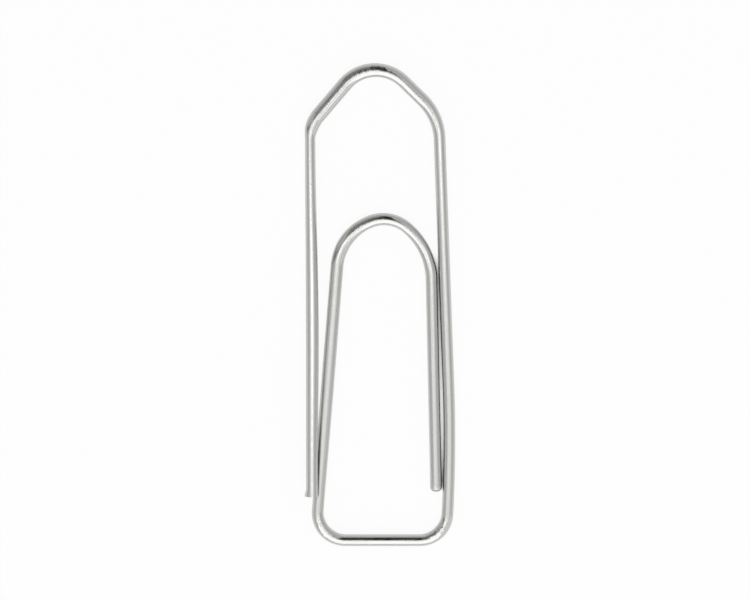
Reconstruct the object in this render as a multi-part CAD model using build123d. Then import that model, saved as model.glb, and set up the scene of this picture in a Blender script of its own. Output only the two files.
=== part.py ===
from build123d import *
from math import acos, asin, cos, degrees, radians, sin, sqrt, tan
from typing import NamedTuple
import os

# Paper clip bent from one round wire, lying flat.
# +Y runs from the heel to the nose, +X towards the back leg, +Z up off the table.
# The wire is followed from the sheared end of the outer leg, over the nose, down the back leg,
# round the heel, up the inner leg and over the arch to the rounded tip of the tongue leg.
# Every node is one straight run or one bend, cut square where it meets the next.
# All sizes are in millimetres and degrees, and every bend radius is to the wire's centre line.

# Wire
WIRE_DIAMETER = 1.2
WIRE_GAP = 0.06  # left between two stretches that lie side by side or cross

# Nose and shoulders
CLIP_LENGTH = 50.0  # overall, from the heel's outer edge to the tip of the nose
SHOULDER_WIDTH = 13.2  # across, from the left shoulder's corner to the right one's
NOSE_OFFSET = 0.12  # the nose stands this far to the right of the shoulders' middle
NOSE_RADIUS = 4.1
LEFT_FLANK_SLOPE = 49.8  # of the flanks that fall from the nose, to the heel's direction
RIGHT_FLANK_SLOPE = 44.5
LEFT_SHOULDER_RADIUS = 3.65
RIGHT_SHOULDER_RADIUS = 6.0

# Heel and back leg
HEEL_WIDTH = 14.3  # between the lines of the inner leg and the back leg, at the crossbar
HEEL_RADIUS = 2.9
BACK_LEG_LEAN = 2.1  # outwards, going down to the heel
BACK_LEG_EASE = 0.57  # the heel's corner stands this far in from the line of the back leg
BACK_LEG_EASE_RADIUS = 156.0

# Inner loop
INNER_LEG_LEAN = 4.5
ARCH_HEIGHT = 33.4  # from the crossbar to the top of the arch, centre to centre
ARCH_EASE = 1.2  # the bend at the top of the arch stands this far in from the line of the tongue leg
ARCH_EASE_RADIUS = 7.2
ARCH_LEFT_EASE = 1.0  # and this far in from the line of the inner leg
ARCH_LEFT_TURN = 65.0  # of the wider bend on that side
TONGUE_LEG_RISE = 5.05  # of the tip above the crossbar's centre line
TIP_FLAT = 0.3  # diameter left flat in the middle of the rounded tip

# Outer leg and its sheared end
OUTER_LEG_LEAN = 0.3  # inwards, going down to the free end
OUTER_LEG_RISE = 4.7  # of the free end above the crossbar's centre line
SHEAR_ANGLE = 5.0
BURR_REACH = 0.18  # of the lip that the shear leaves on the outer side
BURR_HEIGHT = 0.7

WIRE_RADIUS = WIRE_DIAMETER / 2
WIRE_PITCH = WIRE_DIAMETER + WIRE_GAP  # between the centres of two stretches side by side
UP = Vector(0, 0, 1)
PATH_STEPS = 60  # stations along a stretch where its distance to another is measured


class Bend(NamedTuple):
    """Clockwise bend of the centre line, seen from above."""

    enter: Vector
    along: Vector
    radius: float
    turn: float

    @property
    def centre(self):
        return self.enter + right_of(self.along) * self.radius

    @property
    def leave(self):
        return self.point(self.turn)

    def point(self, turn):
        return self.centre + (self.enter - self.centre).rotate(Axis.Z, -turn)

    def stations(self):
        return [self.point(self.turn * i / PATH_STEPS) for i in range(PATH_STEPS + 1)]


def heading(angle):
    """Unit direction in plan, anticlockwise from +X."""
    return Vector(cos(radians(angle)), sin(radians(angle)), 0)


def right_of(along):
    """Unit direction in plan to the right of a direction of travel."""
    return along.cross(UP)


def meet(start_a, along_a, start_b, along_b):
    """Point where two lines in plan cross."""
    across = right_of(along_b)
    return start_a + along_a * ((start_b - start_a).dot(across) / along_a.dot(across))


def corner_bend(corner, along, onward, radius):
    """Bend that rounds the corner between two directions of travel."""
    turn = along.get_angle(onward)
    return Bend(corner - along * (radius * tan(radians(turn / 2))), along, radius, turn)


def ease_turn(radius, ease, ease_radius):
    """Turn of the wide arc that joins a line to a tighter bend standing in from it by the ease."""
    return degrees(acos(1 - ease / (ease_radius - radius)))


def stations(start, end):
    """Evenly spaced points along a straight run."""
    return [start + (end - start) * (i / PATH_STEPS) for i in range(PATH_STEPS + 1)]


# Directions of travel
outer_along = heading(90 + OUTER_LEG_LEAN)
left_flank_along = heading(LEFT_FLANK_SLOPE)
right_flank_along = heading(-RIGHT_FLANK_SLOPE)
back_along = heading(BACK_LEG_LEAN - 90)
crossbar_along = heading(180)
inner_along = heading(90 - INNER_LEG_LEAN)

# Centre line of the nose, with the crossbar's centre line on Y = 0
heel_right = Vector(HEEL_WIDTH / 2, 0, WIRE_RADIUS)
heel_left = Vector(-HEEL_WIDTH / 2, 0, WIRE_RADIUS)
nose_level = Vector(0, CLIP_LENGTH - WIRE_DIAMETER - NOSE_RADIUS, WIRE_RADIUS)
right_side = Vector(SHOULDER_WIDTH / 2 - NOSE_OFFSET, 0, 0)
right_fall = meet(right_of(right_flank_along) * -NOSE_RADIUS, right_flank_along, right_side, heading(90))
right_corner = meet(heel_right, back_along, nose_level + right_fall, heading(0))
nose_centre = right_corner - right_fall
left_flank_top = nose_centre - right_of(left_flank_along) * NOSE_RADIUS
nose_bend = Bend(left_flank_top, left_flank_along, NOSE_RADIUS, LEFT_FLANK_SLOPE + RIGHT_FLANK_SLOPE)
right_shoulder_bend = corner_bend(right_corner, right_flank_along, back_along, RIGHT_SHOULDER_RADIUS)
left_side = right_corner - Vector(SHOULDER_WIDTH, 0, 0)
left_corner = meet(left_flank_top, left_flank_along, left_side, heading(90))
left_shoulder_bend = corner_bend(left_corner, outer_along, left_flank_along, LEFT_SHOULDER_RADIUS)
outer_end = meet(left_corner, outer_along, Vector(0, OUTER_LEG_RISE, WIRE_RADIUS), heading(0))

# Centre line of the back leg and the heel
back_turn = ease_turn(HEEL_RADIUS, BACK_LEG_EASE, BACK_LEG_EASE_RADIUS)
heel_level = Vector(0, HEEL_RADIUS, WIRE_RADIUS)
heel_line = heel_right + right_of(back_along) * (HEEL_RADIUS + BACK_LEG_EASE)
right_heel_centre = meet(heel_level, heading(0), heel_line, back_along)
low_along = heading(BACK_LEG_LEAN - 90 - back_turn)
right_heel_enter = right_heel_centre - right_of(low_along) * HEEL_RADIUS
right_heel_bend = Bend(right_heel_enter, low_along, HEEL_RADIUS, 90 + BACK_LEG_LEAN - back_turn)
ease_centre = right_heel_enter + right_of(low_along) * BACK_LEG_EASE_RADIUS
ease_enter = ease_centre - right_of(back_along) * BACK_LEG_EASE_RADIUS
back_ease_bend = Bend(ease_enter, back_along, BACK_LEG_EASE_RADIUS, back_turn)
left_heel_bend = corner_bend(heel_left, crossbar_along, inner_along, HEEL_RADIUS)


def beside_back_leg(rise):
    """Centre-line point at a height above the crossbar that lies beside the back leg."""
    level = Vector(0, rise, WIRE_RADIUS)
    on_line = meet(heel_right, back_along, level, heading(0))
    if rise > ease_enter.Y:
        return on_line + right_of(back_along) * WIRE_PITCH
    drop = asin((rise - ease_centre.Y) / BACK_LEG_EASE_RADIUS)
    reach = BACK_LEG_EASE_RADIUS - WIRE_PITCH
    return ease_centre + Vector(cos(drop), sin(drop), 0) * reach


# Centre line of the inner loop
tongue_tip = beside_back_leg(TONGUE_LEG_RISE)
tongue_top = beside_back_leg(ARCH_HEIGHT)
tongue_along = (tongue_tip - tongue_top).normalized()
tongue_lean = degrees(asin(tongue_along.X))
arch_top = Vector(0, ARCH_HEIGHT, WIRE_RADIUS)
loop_right = meet(tongue_tip, tongue_along, arch_top, heading(0))
loop_left = meet(heel_left, inner_along, arch_top, heading(0))
loop_width = loop_right.X - loop_left.X
lean_share = 1 / cos(radians(INNER_LEG_LEAN)) - tan(radians(INNER_LEG_LEAN))
tongue_share = 1 / cos(radians(tongue_lean)) - tan(radians(tongue_lean))
arch_eases = ARCH_LEFT_EASE / cos(radians(INNER_LEG_LEAN)) + ARCH_EASE / cos(radians(tongue_lean))
arch_radius = (loop_width - arch_eases) / (lean_share + tongue_share)
arch_level = Vector(0, ARCH_HEIGHT - arch_radius, WIRE_RADIUS)
arch_line = heel_left + right_of(inner_along) * (arch_radius + ARCH_LEFT_EASE)
arch_centre = meet(arch_level, heading(0), arch_line, inner_along)
arch_along = heading(90 - INNER_LEG_LEAN - ARCH_LEFT_TURN)
arch_left_radius = arch_radius + ARCH_LEFT_EASE / (1 - cos(radians(ARCH_LEFT_TURN)))
arch_left_centre = arch_centre + right_of(arch_along) * (arch_left_radius - arch_radius)
arch_enter = arch_left_centre - right_of(inner_along) * arch_left_radius
arch_left_bend = Bend(arch_enter, inner_along, arch_left_radius, ARCH_LEFT_TURN)
arch_ease_turn = ease_turn(arch_radius, ARCH_EASE, ARCH_EASE_RADIUS)
arch_turn = 180 - INNER_LEG_LEAN - tongue_lean - ARCH_LEFT_TURN - arch_ease_turn
arch_bend = Bend(arch_left_bend.leave, arch_along, arch_radius, arch_turn)
arch_ease_along = heading(90 - INNER_LEG_LEAN - ARCH_LEFT_TURN - arch_turn)
arch_ease_bend = Bend(arch_bend.leave, arch_ease_along, ARCH_EASE_RADIUS, arch_ease_turn)


def outer_leg_roll():
    """Roll about the left flank that carries the outer leg over the inner loop."""
    inner_leg = stations(left_heel_bend.leave, arch_enter)
    inner_loop = left_heel_bend.stations() + inner_leg + arch_left_bend.stations()
    pitch = WIRE_PITCH + BURR_REACH / 2
    roll = 0.0
    for station in stations(outer_end, left_shoulder_bend.enter):
        apart = min((station - point).length for point in inner_loop)
        lever = (station - left_corner).dot(right_of(left_flank_along))
        if apart < pitch:
            climb = sqrt(pitch ** 2 - apart ** 2)
            roll = max(roll, degrees(asin(climb / lever)))
    return roll


def run(start, end):
    """Straight run of wire."""
    return Solid.make_cylinder(WIRE_RADIUS, (end - start).length, Plane(start, z_dir=end - start))


def bent(bend):
    """Stretch of wire round a bend."""
    section = Plane(bend.enter, z_dir=bend.along) * Circle(WIRE_RADIUS)
    return revolve(section, Axis(bend.centre, -UP), bend.turn).solid()


def sheared_leg():
    """Outer leg, with the slanting cut of its free end and the lip that the shear left."""
    flare_top = outer_end + outer_along * BURR_HEIGHT
    spare = WIRE_DIAMETER
    reach = BURR_REACH * (BURR_HEIGHT + spare) / BURR_HEIGHT
    low = outer_end - outer_along * spare - right_of(outer_along) * (reach / 2)
    wide = Plane(low, z_dir=outer_along) * Circle(WIRE_RADIUS + reach / 2)
    narrow = Plane(flare_top, z_dir=outer_along) * Circle(WIRE_RADIUS)
    flare = loft([wide.face(), narrow.face()], ruled=True)
    cut = Plane(outer_end, z_dir=outer_along.rotate(Axis.Z, -SHEAR_ANGLE))
    sheared = split(flare, bisect_by=cut, keep=Keep.TOP)
    return (run(flare_top, left_shoulder_bend.enter) + sheared).solid()


def tongue_leg():
    """Tongue leg, with its rounded tip."""
    leg = run(arch_ease_bend.leave, tongue_tip)
    rim = leg.edges().filter_by(GeomType.CIRCLE).sort_by_distance(tongue_tip)[0]
    return leg.fillet(WIRE_RADIUS - TIP_FLAT / 2, [rim])


def heel():
    """Crossbar, the corner to its left and the inner leg."""
    return {
        "crossbar": run(right_heel_bend.leave, left_heel_bend.enter),
        "left_heel_corner": bent(left_heel_bend),
        "inner_leg": run(left_heel_bend.leave, arch_enter),
    }


def tongue():
    """Arch and the leg that hangs from it."""
    return {
        "arch": (bent(arch_left_bend) + bent(arch_bend) + bent(arch_ease_bend)).solid(),
        "tongue_leg": tongue_leg(),
    }


def back():
    """Corner at the right of the heel, and the long leg that bows into it."""
    return {
        "right_heel_corner": bent(right_heel_bend),
        "back_leg_bow": bent(back_ease_bend),
        "back_leg": run(right_shoulder_bend.leave, ease_enter),
    }


def nose():
    """Shoulder, flanks and rounded peak."""
    return {
        "right_shoulder": bent(right_shoulder_bend),
        "right_flank": run(nose_bend.leave, right_shoulder_bend.enter),
        "nose_peak": bent(nose_bend),
        "left_flank": run(left_shoulder_bend.leave, left_flank_top),
    }


def outer():
    """Left shoulder and the free outer leg, rolled up until the leg clears the inner leg."""
    flank = Axis(left_corner, left_flank_along)
    flat = {"left_shoulder": bent(left_shoulder_bend), "outer_leg": sheared_leg()}
    return {name: solid.rotate(flank, -outer_leg_roll()) for name, solid in flat.items()}


nodes = {**heel(), **tongue(), **back(), **nose(), **outer()}
box = Compound(list(nodes.values())).bounding_box()
middle = box.center()
to_origin = Location((-middle.X, -middle.Y, -box.min.Z))

if __name__ == "__main__":
    os.makedirs("parts", exist_ok=True)
    for name, solid in nodes.items():
        export_step(to_origin * solid, f"parts/{name}.step")
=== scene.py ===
"""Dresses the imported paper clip: one bright plated wire, lying flat on white and seen from above."""

from __future__ import annotations

import logging
import math
from dataclasses import dataclass, field
from enum import Enum
from functools import cached_property

import bmesh
import bpy
from mathutils import Matrix, Vector

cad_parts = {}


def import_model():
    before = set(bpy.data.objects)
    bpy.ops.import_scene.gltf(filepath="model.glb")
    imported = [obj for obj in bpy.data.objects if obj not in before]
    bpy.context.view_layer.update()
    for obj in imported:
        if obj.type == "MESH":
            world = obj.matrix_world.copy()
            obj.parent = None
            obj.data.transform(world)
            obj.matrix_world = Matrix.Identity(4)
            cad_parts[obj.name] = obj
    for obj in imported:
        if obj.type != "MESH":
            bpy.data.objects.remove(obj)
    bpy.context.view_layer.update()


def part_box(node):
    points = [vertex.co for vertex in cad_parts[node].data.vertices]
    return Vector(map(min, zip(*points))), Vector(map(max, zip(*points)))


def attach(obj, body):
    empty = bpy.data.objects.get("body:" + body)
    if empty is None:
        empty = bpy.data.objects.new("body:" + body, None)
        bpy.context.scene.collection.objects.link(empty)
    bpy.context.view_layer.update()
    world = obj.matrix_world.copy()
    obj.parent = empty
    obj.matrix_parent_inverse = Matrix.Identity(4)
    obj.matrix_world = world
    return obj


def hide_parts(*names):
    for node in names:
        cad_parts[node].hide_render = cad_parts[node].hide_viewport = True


Tree = bpy.types.NodeTree
Socket = bpy.types.NodeSocket

LOG = logging.getLogger("paper_clip")
MM = 0.001
UP = Vector((0.0, 0.0, 1.0))
RIGHT_ANGLE = 90.0
# The wire in millimetres: its radius, and the pitch of two stretches that lie side by side.
WIRE_RADIUS = 0.6
WIRE_PITCH = 1.26
# Millimetres of air at a hinge, between the flat end faces that turn on each other.
HAIR = 0.003


class Body(Enum):
    """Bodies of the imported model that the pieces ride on."""

    HEEL = "heel"
    TONGUE = "tongue"
    BACK = "back"
    NOSE = "nose"
    OUTER = "outer"


class Slot(Enum):
    """Material slots of the record."""

    PLATED_WIRE = "plated_wire"


class Layer(Enum):
    """Named mesh layers that carry a pattern along the wire."""

    WIRE_SPACE = "wire_space"
    BEND_WORK = "bend_work"
    TIP_WEAR = "tip_wear"
    UNROLLED = "UVMap"


class Face(Enum):
    """Material index of the wire's faces."""

    ROUND = 0
    CUT = 1


def linear(hex_colour: str) -> tuple[float, float, float, float]:
    """Turns an sRGB hex value into the linear colour that the shaders take.

    Args:
        hex_colour: Colour as #RRGGBB.

    Returns:
        Linear red, green and blue, with an alpha of 1.
    """
    shares = [int(hex_colour[i : i + 2], 16) / 255 for i in (1, 3, 5)]
    toe = [s / 12.92 if s <= 0.04045 else ((s + 0.055) / 1.055) ** 2.4 for s in shares]
    return (*toe, 1.0)


def feed(tree: Tree, node: bpy.types.Node, inputs: dict) -> None:
    """Sets or links a node's inputs.

    Args:
        tree: Tree that the node is in.
        node: Node to feed.
        inputs: Sockets by name or index, each with a value or with the output that feeds it.
    """
    for key, value in inputs.items():
        if isinstance(value, Socket):
            tree.links.new(value, node.inputs[key])
        else:
            node.inputs[key].default_value = value


def add_node(tree: Tree, kind: str, inputs: dict | None = None, **settings: object) -> bpy.types.Node:
    """Adds one node with its settings and links.

    Args:
        tree: Tree that the node joins.
        kind: Blender's name of the node type.
        inputs: Values and outputs that feed it, as feed takes them.
        settings: Properties of the node itself.

    Returns:
        The new node.
    """
    node = tree.nodes.new(kind)
    for name, value in settings.items():
        setattr(node, name, value)
    feed(tree, node, inputs or {})
    return node


def new_material(name: str) -> tuple[bpy.types.Material, Tree, bpy.types.Node]:
    """Makes a material that is drawn with nodes.

    Args:
        name: Name of the material.

    Returns:
        The material, its tree and its main shader.
    """
    material = bpy.data.materials.new(name)
    material.use_nodes = True
    return material, material.node_tree, material.node_tree.nodes["Principled BSDF"]


def add_object(name: str, data: bpy.types.ID) -> bpy.types.Object:
    """Puts a new object in the scene.

    Args:
        name: Name of the object.
        data: Its mesh, lamp or camera.

    Returns:
        The object.
    """
    made = bpy.data.objects.new(name, data)
    bpy.context.scene.collection.objects.link(made)
    return made


def heading(angle: float) -> Vector:
    """Gives the unit direction in plan at an angle in degrees, anticlockwise from +X."""
    return Vector((math.cos(math.radians(angle)), math.sin(math.radians(angle)), 0.0))


RIGHTWARD, NOSEWARD, LEFTWARD = (heading(turns * RIGHT_ANGLE) for turns in range(3))


def right_of(along: Vector) -> Vector:
    """Gives the unit direction in plan to the right of a direction of travel."""
    return along.cross(UP)


def meet(start_a: Vector, along_a: Vector, start_b: Vector, along_b: Vector) -> Vector:
    """Finds where two lines in plan cross.

    Args:
        start_a: Point on the first line.
        along_a: Direction of the first line.
        start_b: Point on the second line.
        along_b: Direction of the second line.

    Returns:
        The crossing point, on the first line.
    """
    across = right_of(along_b)
    return start_a + along_a * ((start_b - start_a).dot(across) / along_a.dot(across))


def ease_turn(radius: float, ease: float, ease_radius: float) -> float:
    """Gives the turn of the wide arc that joins a line to a tighter bend.

    Args:
        radius: Radius of the tighter bend.
        ease: How far that bend stands in from the line.
        ease_radius: Radius of the wide arc.

    Returns:
        The turn in degrees.
    """
    return math.degrees(math.acos(1 - ease / (ease_radius - radius)))


@dataclass(frozen=True)
class Stretch:
    """One straight run or one clockwise bend of the wire's centre line, in millimetres and degrees."""

    start: Vector
    along: Vector
    length: float = 0.0
    radius: float = 0.0
    turn: float = 0.0
    spread: tuple[float, float, float] = (0.0, 0.0, 0.0)
    tool_work: float = 0.0
    bow: float = 0.0
    tip_round: float = 0.0
    tip_wear: float = 0.0
    burr_reach: float = 0.0
    burr_height: float = 1.0
    shear: float = 0.0

    @classmethod
    def between(cls, start: Vector, end: Vector, **details: object) -> Stretch:
        """Makes a straight run.

        Args:
            start: Point where the run begins.
            end: Point where it ends.
            details: Further sizes of the stretch.

        Returns:
            The run.
        """
        return cls(start, (end - start).normalized(), length=(end - start).length, **details)

    @classmethod
    def corner(
        cls, corner: Vector, along: Vector, onward: Vector, radius: float, **details: object
    ) -> Stretch:
        """Makes the bend that rounds the corner between two directions of travel.

        Args:
            corner: Point where the two lines meet.
            along: Direction into the corner.
            onward: Direction out of it.
            radius: Bend radius.
            details: Further sizes of the stretch.

        Returns:
            The bend.
        """
        turn = math.degrees(along.angle(onward))
        start = corner - along * (radius * math.tan(math.radians(turn / 2)))
        return cls(start, along, radius=radius, turn=turn, **details)

    @property
    def wire_length(self) -> float:
        """Length of wire in the stretch."""
        return self.length + self.radius * math.radians(self.turn)

    @property
    def end(self) -> Vector:
        """Point where the stretch ends."""
        return self.point(1.0)

    def point(self, share: float) -> Vector:
        """Gives a point of the centre line.

        Args:
            share: Share of the stretch's length, from 0 to 1.

        Returns:
            The point.
        """
        angle = math.radians(self.turn) * share
        ahead = self.length * share + self.radius * math.sin(angle)
        return self.start + self.along * ahead + right_of(self.along) * (self.radius * (1 - math.cos(angle)))

    def points(self, count: int = 60) -> list[Vector]:
        """Gives evenly spaced points along the centre line."""
        return [self.point(i / count) for i in range(count + 1)]

    def place(self) -> Matrix:
        """Gives the turn and place of the stretch, from its own axes with Y along the wire."""
        axes = Matrix((right_of(self.along), self.along, UP)).transposed().to_4x4()
        return Matrix.Translation(self.start * MM) @ axes


class WireTree:
    """Geometry Nodes tree that sweeps the round wire along one stretch and lays its pattern layers."""

    sizes = (
        "Wire Radius",
        "Length",
        "Bend Radius",
        "Turn",
        "Spread Start",
        "Spread Middle",
        "Spread End",
        "Tool Work",
        "Bow",
        "Tip Round",
        "Tip Wear",
        "Burr Reach",
        "Burr Height",
        "Shear",
        "Wire Start",
        "Wire Length",
    )
    counts = ("Sides", "Steps")
    tip_share = 0.2
    least_share = 0.001
    swell_power = 2.0
    lip_fade = 1.5
    lip_focus = 2.0
    wear_power = 2.0
    weld = 1e-6

    def __init__(self) -> None:
        """Builds the tree once, for every stretch to use."""
        self.tree = bpy.data.node_groups.new("wire_stretch", "GeometryNodeTree")
        self.identifiers: dict[str, str] = {}
        for kind, names in (("NodeSocketFloat", self.sizes), ("NodeSocketInt", self.counts)):
            for name in names:
                self._input(name, kind)
        self._input("Material", "NodeSocketMaterial")
        self.tree.interface.new_socket("Geometry", in_out="OUTPUT", socket_type="NodeSocketGeometry")
        self._build()

    def _input(self, name: str, kind: str) -> None:
        """Adds one named input and keeps its identifier."""
        item = self.tree.interface.new_socket(name, in_out="INPUT", socket_type=kind)
        self.identifiers[name] = item.identifier

    def _sums(self) -> tuple[tuple[str | float, ...], ...]:
        """Lists the sums that place the wire and its layers, in order.

        Returns:
            Each sum's name, its operation and what it takes: numbers, and names of inputs or earlier sums.
        """
        return (
            # The flat grid goes round the wire along its X, and along the wire along its Y.
            ("columns", "ADD", "Sides", 1.0),
            ("rows", "ADD", "Steps", 1.0),
            ("along", "ADD", "flat_y", 0.5),
            ("aside", "ADD", "flat_x", 0.5),
            ("around", "MULTIPLY", "aside", -math.tau),
            ("cosine", "COSINE", "around"),
            ("sine", "SINE", "around"),
            # Rounded tip: the last rings close in on a quarter circle.
            ("has_tip", "SIGN", "Tip Round"),
            ("tip_part", "MULTIPLY", "has_tip", self.tip_share),
            ("body_part", "SUBTRACT", 1.0, "tip_part"),
            ("along_body", "DIVIDE", "along", "body_part"),
            ("body", "MINIMUM", "along_body", 1.0),
            ("past_body", "SUBTRACT", "along", "body_part"),
            ("some_tip", "MAXIMUM", "tip_part", self.least_share),
            ("along_tip", "DIVIDE", "past_body", "some_tip"),
            ("closing", "MAXIMUM", "along_tip", 0.0),
            ("quarter", "MULTIPLY", "closing", math.pi / 2),
            ("plain_length", "SUBTRACT", "Length", "Tip Round"),
            ("plain_run", "MULTIPLY", "plain_length", "body"),
            ("quarter_sine", "SINE", "quarter"),
            ("tip_run", "MULTIPLY", "Tip Round", "quarter_sine"),
            ("ahead", "ADD", "plain_run", "tip_run"),
            ("quarter_cosine", "COSINE", "quarter"),
            ("narrowing", "SUBTRACT", 1.0, "quarter_cosine"),
            ("shrink", "MULTIPLY", "Tip Round", "narrowing"),
            ("radius", "SUBTRACT", "Wire Radius", "shrink"),
            # The section is spread wider in plan, by shares at the start, middle and end.
            ("half_circle", "MULTIPLY", "along", math.pi),
            ("hump", "SINE", "half_circle"),
            ("swell", "POWER", "hump", self.swell_power),
            ("spread_change", "SUBTRACT", "Spread End", "Spread Start"),
            ("spread_so_far", "MULTIPLY", "spread_change", "along"),
            ("spread_line", "ADD", "Spread Start", "spread_so_far"),
            ("spread_ends", "ADD", "Spread Start", "Spread End"),
            ("spread_mean", "MULTIPLY", "spread_ends", 0.5),
            ("spread_extra", "SUBTRACT", "Spread Middle", "spread_mean"),
            ("spread_hump", "MULTIPLY", "spread_extra", "swell"),
            ("spread", "ADD", "spread_line", "spread_hump"),
            ("widening", "ADD", 1.0, "spread"),
            ("wide", "MULTIPLY", "radius", "widening"),
            # Sheared end: the first rings slant, and are drawn out to a lip on the left.
            ("along_lip", "DIVIDE", "ahead", "Burr Height"),
            ("before_lip_ends", "SUBTRACT", 1.0, "along_lip"),
            ("flare", "MAXIMUM", "before_lip_ends", 0.0),
            ("to_left", "MULTIPLY", "cosine", -1.0),
            ("left_half", "MAXIMUM", "to_left", 0.0),
            ("leftward", "POWER", "left_half", self.lip_focus),
            ("lip_fading", "POWER", "flare", self.lip_fade),
            ("lip_reach", "MULTIPLY", "Burr Reach", "lip_fading"),
            ("lip", "MULTIPLY", "lip_reach", "leftward"),
            ("plain_across", "MULTIPLY", "wide", "cosine"),
            ("across", "SUBTRACT", "plain_across", "lip"),
            ("height", "MULTIPLY", "radius", "sine"),
            ("shear_slope", "TANGENT", "Shear"),
            ("full_slant", "MULTIPLY", "across", "shear_slope"),
            ("slant", "MULTIPLY", "full_slant", "flare"),
            # The rings stand along the run or round the bend.
            ("angle", "MULTIPLY", "Turn", "along"),
            ("turn_cosine", "COSINE", "angle"),
            ("turn_sine", "SINE", "angle"),
            ("bowed", "MULTIPLY", "Bow", "swell"),
            ("shifted", "ADD", "across", "bowed"),
            ("turn_inward", "SUBTRACT", 1.0, "turn_cosine"),
            ("inward", "MULTIPLY", "Bend Radius", "turn_inward"),
            ("shifted_x", "MULTIPLY", "shifted", "turn_cosine"),
            ("x", "ADD", "inward", "shifted_x"),
            ("bend_ahead", "MULTIPLY", "Bend Radius", "turn_sine"),
            ("onward", "ADD", "ahead", "bend_ahead"),
            ("shifted_y", "MULTIPLY", "shifted", "turn_sine"),
            ("square_y", "SUBTRACT", "onward", "shifted_y"),
            ("y", "SUBTRACT", "square_y", "slant"),
            # Place on the straightened wire, and on its surface unrolled and measured in girths.
            ("straight_x", "MULTIPLY", "radius", "cosine"),
            ("bend_length", "MULTIPLY", "Bend Radius", "angle"),
            ("length_so_far", "ADD", "ahead", "bend_length"),
            ("wire", "ADD", "Wire Start", "length_so_far"),
            ("girth", "MULTIPLY", "Wire Radius", math.tau),
            ("unrolled_length", "MULTIPLY", "unrolled_y", "Wire Length"),
            ("reach", "ADD", "Wire Start", "unrolled_length"),
            ("girths", "DIVIDE", "reach", "girth"),
            # Marks of the bending tool, and wear towards the tip.
            ("worked", "MULTIPLY", "swell", "Tool Work"),
            ("some_wear", "MAXIMUM", "Tip Wear", self.weld),
            ("short_of_tip", "SUBTRACT", "Length", "ahead"),
            ("unworn", "DIVIDE", "short_of_tip", "some_wear"),
            ("nearness", "SUBTRACT", 1.0, "unworn"),
            ("near", "MAXIMUM", "nearness", 0.0),
            ("rubbed", "POWER", "near", self.wear_power),
            ("has_wear", "SIGN", "Tip Wear"),
            ("worn", "MULTIPLY", "rubbed", "has_wear"),
        )

    def _build(self) -> None:
        """Adds the nodes: a flat grid is rolled up round the centre line, welded and dressed."""
        tree = self.tree
        given = add_node(tree, "NodeGroupInput").outputs
        grid = add_node(tree, "GeometryNodeMeshGrid", {"Size X": 1.0, "Size Y": 1.0})
        flat = add_node(tree, "GeometryNodeInputPosition")
        sockets = dict(given.items())
        for name, source in (("flat", flat.outputs[0]), ("unrolled", grid.outputs["UV Map"])):
            parts = add_node(tree, "ShaderNodeSeparateXYZ", {0: source}).outputs
            sockets[f"{name}_x"], sockets[f"{name}_y"] = parts["X"], parts["Y"]
        for name, operation, *taken in self._sums():
            inputs = {place: sockets.get(value, value) for place, value in enumerate(taken)}
            sockets[name] = add_node(tree, "ShaderNodeMath", inputs, operation=operation).outputs[0]
        for name, parts in (
            ("spot", ("x", "y", "height")),
            ("straightened", ("straight_x", "height", "wire")),
            ("unrolled", ("unrolled_x", "girths")),
        ):
            inputs = {place: sockets[part] for place, part in enumerate(parts)}
            sockets[name] = add_node(tree, "ShaderNodeCombineXYZ", inputs).outputs[0]
        feed(tree, grid, {"Vertices X": sockets["columns"], "Vertices Y": sockets["rows"]})
        mesh = grid.outputs["Mesh"]
        for layer, kind, domain, value in (
            (Layer.WIRE_SPACE, "FLOAT_VECTOR", "POINT", "straightened"),
            (Layer.BEND_WORK, "FLOAT", "POINT", "worked"),
            (Layer.TIP_WEAR, "FLOAT", "POINT", "worn"),
            (Layer.UNROLLED, "FLOAT2", "CORNER", "unrolled"),
        ):
            store = add_node(
                tree,
                "GeometryNodeStoreNamedAttribute",
                {"Geometry": mesh, "Name": layer.value},
                data_type=kind,
                domain=domain,
            )
            tree.links.new(sockets[value], next(s for s in store.inputs if s.name == "Value" and s.enabled))
            mesh = store.outputs["Geometry"]
        for kind, inputs in (
            ("GeometryNodeSetPosition", {"Position": sockets["spot"]}),
            ("GeometryNodeMergeByDistance", {"Distance": self.weld}),
            ("GeometryNodeSetShadeSmooth", {}),
            ("GeometryNodeRealizeInstances", {}),
            ("GeometryNodeSetMaterial", {"Material": given["Material"]}),
        ):
            mesh = add_node(tree, kind, {"Geometry": mesh, **inputs}).outputs[0]
        add_node(tree, "NodeGroupOutput", {"Geometry": mesh})


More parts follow.
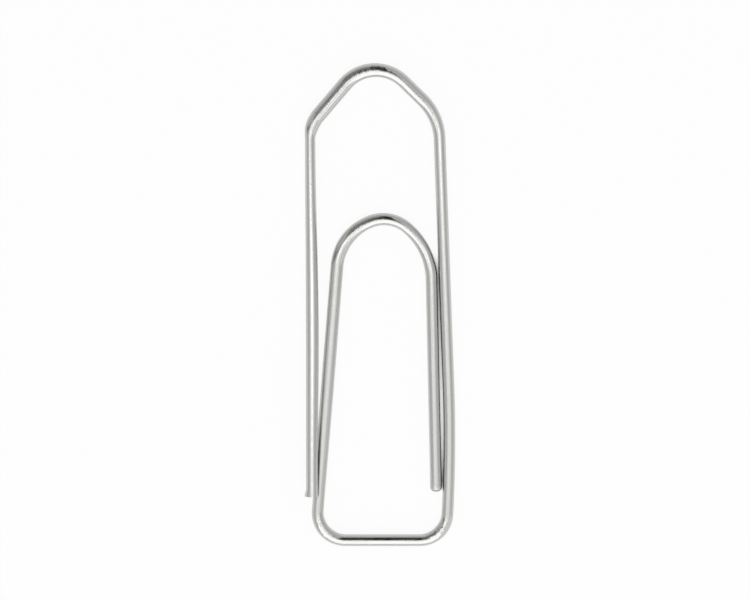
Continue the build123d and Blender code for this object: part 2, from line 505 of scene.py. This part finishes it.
@dataclass
class WireFormer:
    """Bends the wire: turns stretches into closed meshes that lie where the solids are."""

    plating: bpy.types.Material
    cut: bpy.types.Material
    origin: Vector
    sides: int = 72
    run_steps: int = 48
    bend_step: float = 1.2
    tree: WireTree = field(default_factory=WireTree)

    def sweep(self, stretch: Stretch, wire_start: float) -> bpy.types.Mesh:
        """Sweeps the wire along one stretch with Geometry Nodes.

        Args:
            stretch: Stretch to follow.
            wire_start: Length of wire before it.

        Returns:
            A plain mesh in its place, open at both ends.
        """
        values = {
            "Wire Radius": WIRE_RADIUS * MM,
            "Length": stretch.length * MM,
            "Bend Radius": stretch.radius * MM,
            "Turn": math.radians(stretch.turn),
            "Spread Start": stretch.spread[0],
            "Spread Middle": stretch.spread[1],
            "Spread End": stretch.spread[2],
            "Tool Work": stretch.tool_work,
            "Bow": stretch.bow * MM,
            "Tip Round": stretch.tip_round * MM,
            "Tip Wear": stretch.tip_wear * MM,
            "Burr Reach": stretch.burr_reach * MM,
            "Burr Height": stretch.burr_height * MM,
            "Shear": math.radians(stretch.shear),
            "Wire Start": wire_start * MM,
            "Wire Length": stretch.wire_length * MM,
            "Sides": self.sides,
            "Steps": self.run_steps + math.ceil(stretch.turn / self.bend_step),
            "Material": self.plating,
        }
        blank = add_object("wire_blank", bpy.data.meshes.new("wire_blank"))
        modifier = blank.modifiers.new("wire_stretch", "NODES")
        modifier.node_group = self.tree.tree
        for name, value in values.items():
            modifier[self.tree.identifiers[name]] = value
        evaluated = blank.evaluated_get(bpy.context.evaluated_depsgraph_get())
        mesh = bpy.data.meshes.new_from_object(evaluated)
        blank.modifiers.remove(modifier)
        bpy.data.objects.remove(blank)
        mesh.transform(Matrix.Translation(self.origin) @ stretch.place())
        return mesh

    def form(
        self, name: str, stretches: tuple[Stretch, ...], wire_start: float, roll: Matrix
    ) -> bpy.types.Object:
        """Makes one piece of wire from its stretches, welded where they meet and closed at the ends.

        Args:
            name: Name of the piece.
            stretches: Stretches in the order in which the wire runs.
            wire_start: Length of wire before the piece.
            roll: Turn that lifts the piece off the table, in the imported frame.

        Returns:
            The finished object.
        """
        shape = bmesh.new()
        for stretch in stretches:
            mesh = self.sweep(stretch, wire_start)
            shape.from_mesh(mesh)
            bpy.data.meshes.remove(mesh)
            wire_start += stretch.wire_length
        bmesh.ops.remove_doubles(shape, verts=shape.verts, dist=WireTree.weld)
        for face in shape.faces:
            face.material_index = Face.ROUND.value
        rims = [edge for edge in shape.edges if edge.is_boundary]
        for face in bmesh.ops.holes_fill(shape, edges=rims)["faces"]:
            face.smooth = False
            face.material_index = Face.CUT.value
        for edge in rims:
            edge.smooth = False
        bmesh.ops.recalc_face_normals(shape, faces=shape.faces)
        shape.transform(roll)
        finished = bpy.data.meshes.new(name)
        shape.to_mesh(finished)
        shape.free()
        return add_object(name, finished)


class SubAssembly:
    """Stretches of wire that move as one body."""

    body: Body

    def stretches(self) -> dict[str, tuple[Stretch, ...]]:
        """Gives the stretches of each node, in the order in which the wire runs."""
        raise NotImplementedError

    def roll(self, origin: Vector) -> Matrix:
        """Gives the turn that lifts the sub-assembly off the table; most lie flat."""
        return Matrix.Identity(4)

    def build(self, former: WireFormer, starts: dict[str, float]) -> dict[str, bpy.types.Object]:
        """Forms the wire of each node.

        Args:
            former: Tool that makes the meshes.
            starts: Length of wire before each node.

        Returns:
            The new piece for each node.
        """
        roll = self.roll(former.origin)
        return {
            node: former.form(f"wire_{node}", stretches, starts[node], roll)
            for node, stretches in self.stretches().items()
        }

    def dress(self, pieces: dict[str, bpy.types.Object], former: WireFormer) -> None:
        """Gives the pieces their finishes and hangs them on their body.

        Args:
            pieces: Piece for each node.
            former: Tool that made them, with its materials.
        """
        for node, piece in pieces.items():
            piece.data.materials.append(former.plating)
            piece.data.materials.append(former.cut)
            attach(piece, self.body.value)
            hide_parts(node)


@dataclass
class Heel(SubAssembly):
    """Crossbar, the corner to its left and the inner leg."""

    width: float = 14.3
    radius: float = 2.9
    inner_lean: float = 4.5
    back_lean: float = 2.1
    spread: float = 0.06
    leg_spread: float = 0.09
    tool_work: float = 1.0
    body = Body.HEEL
    back: Back | None = None
    tongue: Tongue | None = None

    @property
    def right(self) -> Vector:
        """Foot of the back leg's line, on the crossbar's centre line."""
        return Vector((self.width / 2, 0.0, 0.0))

    @property
    def left(self) -> Vector:
        """Foot of the inner leg's line, on the crossbar's centre line."""
        return Vector((-self.width / 2, 0.0, 0.0))

    @property
    def back_along(self) -> Vector:
        """Direction down the back leg."""
        return heading(self.back_lean - RIGHT_ANGLE)

    @property
    def inner_along(self) -> Vector:
        """Direction up the inner leg."""
        return heading(RIGHT_ANGLE - self.inner_lean)

    @cached_property
    def left_corner(self) -> Stretch:
        """Bend from the crossbar into the inner leg."""
        details = {"spread": (0.0, self.spread, 0.0), "tool_work": self.tool_work}
        return Stretch.corner(self.left, LEFTWARD, self.inner_along, self.radius, **details)

    def stretches(self) -> dict[str, tuple[Stretch, ...]]:
        """Lays out the stretches in the order in which the wire runs.

        Returns:
            The stretches of each node.
        """
        right = self.back.right_corner.end + LEFTWARD * HAIR
        top = self.tongue.arch[0].start - self.inner_along * HAIR
        spread = (0.0, self.leg_spread, self.leg_spread)
        return {
            "crossbar": (Stretch.between(right, self.left_corner.start),),
            "left_heel_corner": (self.left_corner,),
            "inner_leg": (Stretch.between(self.left_corner.end, top, spread=spread),),
        }


@dataclass
class Nose(SubAssembly):
    """Right shoulder, flanks and rounded peak."""

    heel: Heel
    clip_length: float = 50.0
    shoulder_width: float = 13.2
    offset: float = 0.12
    radius: float = 4.1
    left_slope: float = 49.8
    right_slope: float = 44.5
    left_radius: float = 3.65
    right_radius: float = 6.0
    left_spread: float = 0.27
    peak_spread: float = 0.19
    right_spread: float = 0.12
    shoulder_spread: float = 0.17
    tool_work: float = 0.55
    flank_start: Vector = field(default_factory=Vector)
    body = Body.NOSE

    @property
    def left_along(self) -> Vector:
        """Direction up the left flank."""
        return heading(self.left_slope)

    @property
    def right_along(self) -> Vector:
        """Direction down the right flank."""
        return heading(-self.right_slope)

    @cached_property
    def right_fall(self) -> Vector:
        """From the centre of the peak's bend to the right shoulder's corner."""
        side = Vector((self.shoulder_width / 2 - self.offset, 0.0, 0.0))
        return meet(right_of(self.right_along) * -self.radius, self.right_along, side, NOSEWARD)

    @cached_property
    def right_corner(self) -> Vector:
        """Corner where the right flank's line meets the back leg's."""
        level = Vector((0.0, self.clip_length - 2 * WIRE_RADIUS - self.radius, 0.0))
        return meet(self.heel.right, self.heel.back_along, level + self.right_fall, RIGHTWARD)

    @cached_property
    def peak(self) -> Stretch:
        """Bend over the top of the nose."""
        centre = self.right_corner - self.right_fall
        start = centre - right_of(self.left_along) * self.radius
        turn = self.left_slope + self.right_slope
        details = {
            "spread": (self.left_spread, self.peak_spread, self.right_spread),
            "tool_work": self.tool_work,
        }
        return Stretch(start, self.left_along, radius=self.radius, turn=turn, **details)

    @cached_property
    def left_corner(self) -> Vector:
        """Corner where the left flank's line meets the outer leg's."""
        side = self.right_corner - Vector((self.shoulder_width, 0.0, 0.0))
        return meet(self.peak.start, self.left_along, side, NOSEWARD)

    @cached_property
    def right_shoulder(self) -> Stretch:
        """Bend from the right flank into the back leg."""
        onward = self.heel.back_along
        spread = (self.right_spread, self.right_spread / 2, 0.0)
        return Stretch.corner(self.right_corner, self.right_along, onward, self.right_radius, spread=spread)

    def left_shoulder(self, outer_along: Vector, start_spread: float) -> Stretch:
        """Gives the bend from the outer leg into the left flank.

        Args:
            outer_along: Direction up the outer leg.
            start_spread: Share by which the leg's top is wider than round wire.

        Returns:
            The bend.
        """
        spread = (start_spread, self.shoulder_spread, self.left_spread)
        return Stretch.corner(self.left_corner, outer_along, self.left_along, self.left_radius, spread=spread)

    def stretches(self) -> dict[str, tuple[Stretch, ...]]:
        """Lays out the stretches in the order in which the wire runs.

        Returns:
            The stretches of each node.
        """
        left, right = (self.left_spread,) * 3, (self.right_spread,) * 3
        foot = self.flank_start + self.left_along * HAIR
        return {
            "left_flank": (Stretch.between(foot, self.peak.start, spread=left),),
            "nose_peak": (self.peak,),
            "right_flank": (Stretch.between(self.peak.end, self.right_shoulder.start, spread=right),),
            "right_shoulder": (self.right_shoulder,),
        }


@dataclass
class Back(SubAssembly):
    """Long leg at the right, its bow and the heel's right corner."""

    heel: Heel
    nose: Nose
    ease: float = 0.57
    ease_radius: float = 156.0
    spread: float = 0.06
    body = Body.BACK

    @cached_property
    def turn(self) -> float:
        """Turn of the bow at the foot of the leg, in degrees."""
        return ease_turn(self.heel.radius, self.ease, self.ease_radius)

    @cached_property
    def right_corner(self) -> Stretch:
        """Bend from the back leg into the crossbar."""
        heel = self.heel
        line = heel.right + right_of(heel.back_along) * (heel.radius + self.ease)
        centre = meet(Vector((0.0, heel.radius, 0.0)), RIGHTWARD, line, heel.back_along)
        along = heading(heel.back_lean - RIGHT_ANGLE - self.turn)
        start = centre - right_of(along) * heel.radius
        turn = RIGHT_ANGLE + heel.back_lean - self.turn
        details = {"spread": (0.0, self.spread, 0.0), "tool_work": heel.tool_work}
        return Stretch(start, along, radius=heel.radius, turn=turn, **details)

    @cached_property
    def ease_centre(self) -> Vector:
        """Centre of the bow at the foot of the leg."""
        corner = self.right_corner
        return corner.start + right_of(corner.along) * self.ease_radius

    @cached_property
    def bow(self) -> Stretch:
        """Wide bend at the foot of the leg."""
        along = self.heel.back_along
        start = self.ease_centre - right_of(along) * self.ease_radius
        return Stretch(start, along, radius=self.ease_radius, turn=self.turn)

    def beside(self, rise: float) -> Vector:
        """Finds the point where wire would lie beside the leg.

        Args:
            rise: Distance up the clip from the crossbar's centre line.

        Returns:
            The point.
        """
        if rise > self.bow.start.y:
            level = Vector((0.0, rise, 0.0))
            on_line = meet(self.heel.right, self.heel.back_along, level, RIGHTWARD)
            return on_line + right_of(self.heel.back_along) * WIRE_PITCH
        drop = math.asin((rise - self.ease_centre.y) / self.ease_radius)
        reach = self.ease_radius - WIRE_PITCH
        return self.ease_centre + Vector((math.cos(drop), math.sin(drop), 0.0)) * reach

    def stretches(self) -> dict[str, tuple[Stretch, ...]]:
        """Lays out the stretches in the order in which the wire runs.

        Returns:
            The stretches of each node.
        """
        top = self.nose.right_shoulder.end + self.heel.back_along * HAIR
        return {
            "back_leg": (Stretch.between(top, self.bow.start),),
            "back_leg_bow": (self.bow,),
            "right_heel_corner": (self.right_corner,),
        }


@dataclass
class Tongue(SubAssembly):
    """Arch and the free leg that hangs from it, with a rounded tip."""

    heel: Heel
    back: Back
    height: float = 33.4
    ease: float = 1.2
    ease_radius: float = 7.2
    left_ease: float = 1.0
    left_turn: float = 65.0
    tip_rise: float = 5.05
    tip_flat: float = 0.3
    tip_wear: float = 2.5
    spread: float = 0.08
    left_spread: float = 0.14
    tool_work: float = 0.3
    body = Body.TONGUE

    @cached_property
    def tip(self) -> Vector:
        """End of the tongue leg."""
        return self.back.beside(self.tip_rise)

    @cached_property
    def arch(self) -> tuple[Stretch, Stretch, Stretch]:
        """Bends of the arch: a wide one off the inner leg, the peak and a wide one into the tongue leg."""
        along = self.heel.inner_along
        lean = math.radians(self.heel.inner_lean)
        tongue_along = (self.tip - self.back.beside(self.height)).normalized()
        tongue_lean = math.asin(tongue_along.x)
        top = Vector((0.0, self.height, 0.0))
        right = meet(self.tip, tongue_along, top, RIGHTWARD)
        left = meet(self.heel.left, along, top, RIGHTWARD)
        shares = sum(1 / math.cos(a) - math.tan(a) for a in (lean, tongue_lean))
        eases = self.left_ease / math.cos(lean) + self.ease / math.cos(tongue_lean)
        radius = (right.x - left.x - eases) / shares
        line = self.heel.left + right_of(along) * (radius + self.left_ease)
        centre = meet(Vector((0.0, self.height - radius, 0.0)), RIGHTWARD, line, along)
        left_radius = radius + self.left_ease / (1 - math.cos(math.radians(self.left_turn)))
        peak_angle = RIGHT_ANGLE - self.heel.inner_lean - self.left_turn
        left_centre = centre + right_of(heading(peak_angle)) * (left_radius - radius)
        left_start = left_centre - right_of(along) * left_radius
        spread = (self.heel.leg_spread, self.left_spread, self.spread)
        rise = Stretch(left_start, along, radius=left_radius, turn=self.left_turn, spread=spread)
        ease = ease_turn(radius, self.ease, self.ease_radius)
        turn = RIGHT_ANGLE + peak_angle - math.degrees(tongue_lean) - ease
        details = {"spread": (self.spread, self.spread / 2, 0.0), "tool_work": self.tool_work}
        peak = Stretch(rise.end, heading(peak_angle), radius=radius, turn=turn, **details)
        return rise, peak, Stretch(peak.end, heading(peak_angle - turn), radius=self.ease_radius, turn=ease)

    def stretches(self) -> dict[str, tuple[Stretch, ...]]:
        """Lays out the stretches in the order in which the wire runs.

        Returns:
            The stretches of each node.
        """
        tip_round = WIRE_RADIUS - self.tip_flat / 2
        leg = Stretch.between(self.arch[-1].end, self.tip, tip_round=tip_round, tip_wear=self.tip_wear)
        return {"arch": self.arch, "tongue_leg": (leg,)}


@dataclass
class Outer(SubAssembly):
    """Left shoulder and the free outer leg, rolled up until the leg clears the inner loop."""

    heel: Heel
    nose: Nose
    tongue: Tongue
    lean: float = 0.3
    rise: float = 4.7
    shear: float = 5.0
    burr_reach: float = 0.18
    burr_height: float = 0.7
    bow: float = 0.12
    spread: tuple[float, float, float] = (0.0, 0.08, -0.13)
    body = Body.OUTER

    @property
    def along(self) -> Vector:
        """Direction up the outer leg."""
        return heading(RIGHT_ANGLE + self.lean)

    @cached_property
    def shoulder(self) -> Stretch:
        """Bend from the outer leg into the left flank."""
        return self.nose.left_shoulder(self.along, self.spread[-1])

    @cached_property
    def leg(self) -> Stretch:
        """Straight leg, from its sheared end."""
        end = meet(self.nose.left_corner, self.along, Vector((0.0, self.rise, 0.0)), RIGHTWARD)
        return Stretch.between(
            end,
            self.shoulder.start,
            shear=self.shear,
            burr_reach=self.burr_reach,
            burr_height=self.burr_height,
            bow=self.bow,
            spread=self.spread,
        )

    def roll(self, origin: Vector) -> Matrix:
        """Gives the turn about the left flank that carries the leg over the inner loop.

        Args:
            origin: Place of the layout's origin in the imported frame.

        Returns:
            The turn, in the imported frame.
        """
        inner = Stretch.between(self.heel.left_corner.end, self.tongue.arch[0].start)
        loop = self.heel.left_corner.points() + inner.points() + self.tongue.arch[0].points()
        pitch = WIRE_PITCH + self.burr_reach / 2
        angle = 0.0
        for point in self.leg.points():
            apart = min((point - other).length for other in loop)
            if apart < pitch:
                lever = (point - self.nose.left_corner).dot(right_of(self.nose.left_along))
                angle = max(angle, math.asin(math.sqrt(pitch**2 - apart**2) / lever))
        pivot = Matrix.Translation(origin + self.nose.left_corner * MM)
        return pivot @ Matrix.Rotation(-angle, 4, self.nose.left_along) @ pivot.inverted()

    def stretches(self) -> dict[str, tuple[Stretch, ...]]:
        """Gives the stretches of each node, in the order in which the wire runs."""
        return {"outer_leg": (self.leg,), "left_shoulder": (self.shoulder,)}


@dataclass(frozen=True)
class BrightPlatedSteel:
    """Drawn steel wire under bright zinc: mirror-like along the wire, softer round it, marked at bends, with
    shade painted darker into the cracks between stretches.
    """

    bright: str = "#DADAD8"
    dull: str = "#C8C8C5"
    worn: str = "#CDCDC9"
    # Painted shade for the cracks between stretches: this dark grey is mixed into the colour where ambient
    # occlusion finds wire within the given distance.
    crevice_shade: str = "#484846"
    crevice_shade_mm: float = 0.4
    crevice_shade_samples: int = 8
    roughness: float = 0.19
    roughness_swing: float = 0.05
    worn_roughness: float = 0.42
    anisotropy: float = 0.8
    line_width_mm: float = 0.11
    line_length_mm: float = 7.0
    line_depth_mm: float = 0.0008
    line_detail: float = 3.0
    line_contrast: float = 0.6
    ripple_mm: float = 1.1
    ripple_depth_mm: float = 0.006
    ripple_detail: float = 2.0
    ripple_range: tuple[float, float] = (0.3, 0.7)
    mark_mm: float = 0.45
    mark_depth_mm: float = 0.07
    mark_detail: float = 3.0

    def material(self) -> bpy.types.Material:
        """Builds the material.

        Returns:
            The plated steel.
        """
        material, tree, shader = new_material("bright_zinc_plated_steel")
        space, work, wear = (
            add_node(tree, "ShaderNodeAttribute", attribute_name=layer.value)
            for layer in (Layer.WIRE_SPACE, Layer.BEND_WORK, Layer.TIP_WEAR)
        )
        straight, rubbed = space.outputs["Vector"], wear.outputs["Fac"]
        # Drawing leaves fine lines along the wire. Real ones are some 0.02 mm apart, too fine to show, so
        # these are coarser.
        scale = [1 / size / MM for size in (self.line_width_mm, self.line_width_mm, self.line_length_mm)]
        drawn = add_node(tree, "ShaderNodeMapping", {"Vector": straight, "Scale": scale}).outputs[0]
        lines, ripple, marks = (
            add_node(tree, "ShaderNodeTexNoise", inputs).outputs[0]
            for inputs in (
                {"Vector": drawn, "Scale": 1.0, "Detail": self.line_detail, "Roughness": self.line_contrast},
                {"Vector": straight, "Scale": 1 / self.ripple_mm / MM, "Detail": self.ripple_detail},
                {"Vector": straight, "Scale": 1 / self.mark_mm / MM, "Detail": self.mark_detail},
            )
        )
        marked = add_node(tree, "ShaderNodeMath", {0: marks, 1: work.outputs["Fac"]}, operation="MULTIPLY")
        # Painted shade: the colour goes over to a dark grey where ambient occlusion finds another stretch
        # close by, since little light finds its way into the crack between two stretches that lie side by
        # side.
        open_air = add_node(
            tree,
            "ShaderNodeAmbientOcclusion",
            {"Distance": self.crevice_shade_mm * MM},
            samples=self.crevice_shade_samples,
        )
        tone = add_node(
            tree,
            "ShaderNodeMix",
            {"Factor": lines, "A": linear(self.dull), "B": linear(self.bright)},
            data_type="RGBA",
        )
        faded = add_node(
            tree,
            "ShaderNodeMix",
            {"Factor": rubbed, "A": tone.outputs["Result"], "B": linear(self.worn)},
            data_type="RGBA",
        )
        shaded = add_node(
            tree,
            "ShaderNodeMix",
            {"Factor": open_air.outputs["AO"], "A": linear(self.crevice_shade), "B": faded.outputs["Result"]},
            data_type="RGBA",
        )
        low = self.roughness - self.roughness_swing / 2
        span = (ripple, *self.ripple_range, low, low + self.roughness_swing)
        rough = add_node(tree, "ShaderNodeMapRange", dict(enumerate(span)))
        rougher = add_node(
            tree,
            "ShaderNodeMix",
            {"Factor": rubbed, "A": rough.outputs[0], "B": self.worn_roughness},
            data_type="FLOAT",
        )
        relief = {}
        for height, depth_mm in (
            (ripple, self.ripple_depth_mm),
            (lines, self.line_depth_mm),
            (marked.outputs[0], self.mark_depth_mm),
        ):
            inputs = {"Height": height, "Strength": 1.0, "Distance": depth_mm * MM, **relief}
            relief = {"Normal": add_node(tree, "ShaderNodeBump", inputs).outputs[0]}
        tangent = add_node(tree, "ShaderNodeTangent", direction_type="UV_MAP", uv_map=Layer.UNROLLED.value)
        finish = {
            "Base Color": shaded.outputs["Result"],
            "Metallic": 1.0,
            "Roughness": rougher.outputs["Result"],
            "Anisotropic": self.anisotropy,
            "Tangent": tangent.outputs[0],
            **relief,
        }
        feed(tree, shader, finish)
        return material


@dataclass(frozen=True)
class ShearedSteel:
    """Bare end of the wire, sheared off: dull grey, torn across in fine grain."""

    light: str = "#B4B2AD"
    dark: str = "#84827E"
    roughness: float = 0.45
    grain_mm: float = 0.12
    grain_depth_mm: float = 0.03
    grain_detail: float = 4.0

    def material(self) -> bpy.types.Material:
        """Builds the material.

        Returns:
            The sheared steel.
        """
        material, tree, shader = new_material("sheared_bare_steel")
        place = add_node(tree, "ShaderNodeTexCoord").outputs["Object"]
        pattern = {"Vector": place, "Scale": 1 / self.grain_mm / MM, "Detail": self.grain_detail}
        grain = add_node(tree, "ShaderNodeTexNoise", pattern).outputs[0]
        tone = add_node(
            tree,
            "ShaderNodeMix",
            {"Factor": grain, "A": linear(self.dark), "B": linear(self.light)},
            data_type="RGBA",
        )
        torn = add_node(tree, "ShaderNodeBump", {"Height": grain, "Distance": self.grain_depth_mm * MM})
        finish = {
            "Base Color": tone.outputs["Result"],
            "Metallic": 1.0,
            "Roughness": self.roughness,
            "Normal": torn.outputs[0],
        }
        feed(tree, shader, finish)
        return material


@dataclass(frozen=True)
class WhitePaper:
    """Matt white card under the clip, shown at full white, with the clip's shadow left in it."""

    shade: str = "#F5F5F3"
    roughness: float = 0.9
    specular: float = 0.2
    camera_white: float = 0.93
    mirror_white: float = 0.36
    gap_mm: float = 1.2
    gap_samples: int = 16
    gap_shade: tuple[float, float] = (0.13, 0.29)

    def material(self) -> bpy.types.Material:
        """Builds the material.

        Returns:
            The paper.
        """
        material, tree, shader = new_material("matt_white_paper")
        matt = {
            "Base Color": linear(self.shade),
            "Roughness": self.roughness,
            "Specular IOR Level": self.specular,
        }
        feed(tree, shader, matt)
        # The paper is lost to shade only where wire stands on both sides of it.
        open_sky = add_node(
            tree, "ShaderNodeAmbientOcclusion", {"Distance": self.gap_mm * MM}, samples=self.gap_samples
        )
        span = (open_sky.outputs["AO"], *self.gap_shade, 0.0, 1.0)
        sockets = dict(add_node(tree, "ShaderNodeLightPath").outputs.items())
        sockets["lit"] = add_node(tree, "ShaderNodeMapRange", dict(enumerate(span))).outputs[0]
        for name, operation, first, second in (
            ("seen", "MULTIPLY", "Is Camera Ray", self.camera_white),
            ("through", "MAXIMUM", "Is Glossy Ray", "Is Transmission Ray"),
            ("mirrored", "MULTIPLY", "through", self.mirror_white),
            ("shown", "MAXIMUM", "seen", "mirrored"),
            ("whiteness", "MULTIPLY", "shown", "lit"),
        ):
            inputs = {0: sockets[first], 1: sockets.get(second, second)}
            sockets[name] = add_node(tree, "ShaderNodeMath", inputs, operation=operation).outputs[0]
        white = add_node(tree, "ShaderNodeEmission", {"Strength": 1.0})
        surfaces = {0: sockets["whiteness"], 1: shader.outputs[0], 2: white.outputs[0]}
        mixed = add_node(tree, "ShaderNodeMixShader", surfaces)
        feed(tree, tree.nodes["Material Output"], {"Surface": mixed.outputs[0]})
        return material


@dataclass(frozen=True)
class MattCard:
    """Matt card that hangs over the clip: it draws a dark or grey band in the polished wire."""

    name: str
    shade: str

    def material(self) -> bpy.types.Material:
        """Builds the material.

        Returns:
            The card's finish.
        """
        material, tree, shader = new_material(self.name)
        feed(tree, shader, {"Base Color": linear(self.shade), "Roughness": 1.0, "Specular IOR Level": 0.0})
        return material


def toward(tilt: float, azimuth: float) -> Vector:
    """Gives a direction from the clip, by its tilt from straight up and its azimuth in plan, in degrees."""
    return heading(azimuth) * math.sin(math.radians(tilt)) + UP * math.cos(math.radians(tilt))


@dataclass(frozen=True)
class Softbox:
    """Soft lamp seen from the clip at a tilt and azimuth, with its half-angles along and across that way.

    Angles are in degrees and the distance is in metres.
    """

    name: str
    tilt: float
    azimuth: float
    half_along: float
    half_across: float
    radiance: float
    distance: float = 0.7

    def build(self) -> None:
        """Hangs the lamp."""
        lamp = bpy.data.lights.new(self.name, "AREA")
        lamp.shape = "RECTANGLE"
        lamp.size = 2 * self.distance * math.tan(math.radians(self.half_across))
        lamp.size_y = 2 * self.distance * math.tan(math.radians(self.half_along))
        lamp.energy = self.radiance * math.pi * lamp.size * lamp.size_y
        hung = add_object(self.name, lamp)
        away = toward(self.tilt, self.azimuth)
        along = toward(self.tilt + RIGHT_ANGLE, self.azimuth)
        across = along.cross(away)
        axes = Matrix((across, along, away)).transposed().to_4x4()
        hung.matrix_world = Matrix.Translation(away * self.distance) @ axes
        hung.visible_camera = False


@dataclass(frozen=True)
class Flag:
    """Level card over the clip, with two edges that run across the picture.

    Each edge is given by three angles from straight up: up the picture, and across it at the edge's two ends.
    Angles are in degrees and the height is in metres.
    """

    name: str
    finish: MattCard
    near: tuple[float, float, float]
    far: tuple[float, float, float]
    height: float = 0.45

    def build(self) -> None:
        """Hangs the card where only mirrors see it."""
        mesh = bpy.data.meshes.new(self.name)
        corners = [
            Vector((math.tan(math.radians(across)), math.tan(math.radians(edge[0])), 1.0)) * self.height
            for edge, ends in ((self.near, self.near[1:]), (self.far, reversed(self.far[1:])))
            for across in ends
        ]
        mesh.from_pydata(corners, [], [(3, 2, 1, 0)])
        mesh.materials.append(self.finish.material())
        card = add_object(self.name, mesh)
        card.visible_camera = False
        card.visible_diffuse = False
        card.visible_shadow = False
        card.visible_transmission = False


@dataclass
class Studio:
    """White floor, soft light and the camera, almost straight above the clip.

    Lengths are in millimetres, apart from floor_half and clip_start, which are in metres.
    """

    floor_half: float = 3.0
    floor_drop: float = 0.02
    sky: float = 0.58
    view_width: float = 77.09
    lens: float = 500.0
    sensor: float = 36.0
    clip_start: float = 0.01
    tilt: float = 8.0
    aim: tuple[float, float, float] = (-0.503, 0.615, 0.6)
    softboxes: tuple[Softbox, ...] = (
        Softbox("strip_softbox", tilt=2.6, azimuth=270.0, half_along=3.8, half_across=14.0, radiance=1.3),
        Softbox("top_softbox", tilt=4.0, azimuth=270.0, half_along=18.0, half_across=36.0, radiance=0.45),
        Softbox("key_softbox", tilt=44.5, azimuth=262.0, half_along=26.5, half_across=30.0, radiance=1.0),
        Softbox("fill_softbox", tilt=66.0, azimuth=318.0, half_along=14.0, half_across=24.0, radiance=0.4),
    )
    flags: tuple[Flag, ...] = (
        Flag(
            "dark_flag",
            MattCard("black_velvet", "#060606"),
            near=(-2.0, -3.5, 11.0),
            far=(62.0, -12.0, 20.0),
        ),
        Flag(
            "step_flag",
            MattCard("mid_grey_card", "#686868"),
            near=(1.0, -12.0, -4.0),
            far=(40.0, -15.0, -8.0),
            # A millimetre under the others, so that it hides them where they overlap.
            height=0.449,
        ),
        Flag(
            "grey_flag",
            MattCard("grey_card", "#989898"),
            near=(6.0, -24.0, -6.0),
            far=(58.0, -62.0, -12.0),
        ),
        Flag(
            "shoulder_flag",
            MattCard("shoulder_card", "#989898"),
            near=(4.0, -52.0, -25.0),
            far=(14.0, -55.0, -32.0),
        ),
        Flag(
            "side_flag",
            MattCard("dark_grey_card", "#808080"),
            near=(3.0, -78.0, -53.0),
            far=(26.0, -78.0, -60.0),
        ),
    )

    def build(self) -> None:
        """Sets up the floor, the light and the camera."""
        self._floor()
        self._sky()
        for softbox in self.softboxes:
            softbox.build()
            LOG.info("softbox %s", softbox.name)
        for flag in self.flags:
            flag.build()
            LOG.info("flag %s", flag.name)
        self._camera()
        bpy.context.scene.view_settings.view_transform = "Standard"

    def _floor(self) -> None:
        """Lays the paper just under the wire."""
        half, drop = self.floor_half, -self.floor_drop * MM
        mesh = bpy.data.meshes.new("paper_floor")
        corners = [(-half, -half, drop), (half, -half, drop), (half, half, drop), (-half, half, drop)]
        mesh.from_pydata(corners, [], [(0, 1, 2, 3)])
        mesh.materials.append(WhitePaper().material())
        floor = add_object("paper_floor", mesh)

    def _sky(self) -> None:
        """Fills the room with even pale grey light."""
        world = bpy.data.worlds.new("pale_room")
        world.use_nodes = True
        background = world.node_tree.nodes["Background"]
        background.inputs["Color"].default_value = (self.sky, self.sky, self.sky, 1.0)
        bpy.context.scene.world = world

    def _camera(self) -> None:
        """Hangs the camera over the middle of the view, tilted a little from the side of the nose."""
        camera = bpy.data.cameras.new("camera")
        camera.lens = self.lens
        camera.sensor_width = self.sensor
        camera.clip_start = self.clip_start
        height = self.view_width * self.lens / self.sensor
        hung = add_object("camera", camera)
        hung.location = (Vector(self.aim) + toward(self.tilt, RIGHT_ANGLE) * height) * MM
        hung.rotation_euler.x = -math.radians(self.tilt)
        bpy.context.scene.camera = hung


def main() -> None:
    """Builds the clip's pieces in order, then the studio."""
    logging.basicConfig(level=logging.INFO, format="%(message)s")
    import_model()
    heel = Heel()
    nose = Nose(heel)
    back = Back(heel, nose)
    tongue = Tongue(heel, back)
    outer = Outer(heel, nose, tongue)
    heel.back, heel.tongue = back, tongue
    nose.flank_start = outer.shoulder.end
    order = (outer, nose, back, heel, tongue)
    starts, length = {}, 0.0
    for assembly in order:
        for node, stretches in assembly.stretches().items():
            starts[node] = length
            length += sum(stretch.wire_length for stretch in stretches)
    low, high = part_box("crossbar")
    origin = Vector((high.x - back.right_corner.end.x * MM, (low.y + high.y) / 2, (low.z + high.z) / 2))
    former = WireFormer(BrightPlatedSteel().material(), ShearedSteel().material(), origin)
    for assembly in order:
        pieces = assembly.build(former, starts)
        assembly.dress(pieces, former)
        for piece in pieces.values():
            LOG.info("%s rides on %s", piece.name, assembly.body.value)
    Studio().build()


if __name__ == "__main__":
    main()
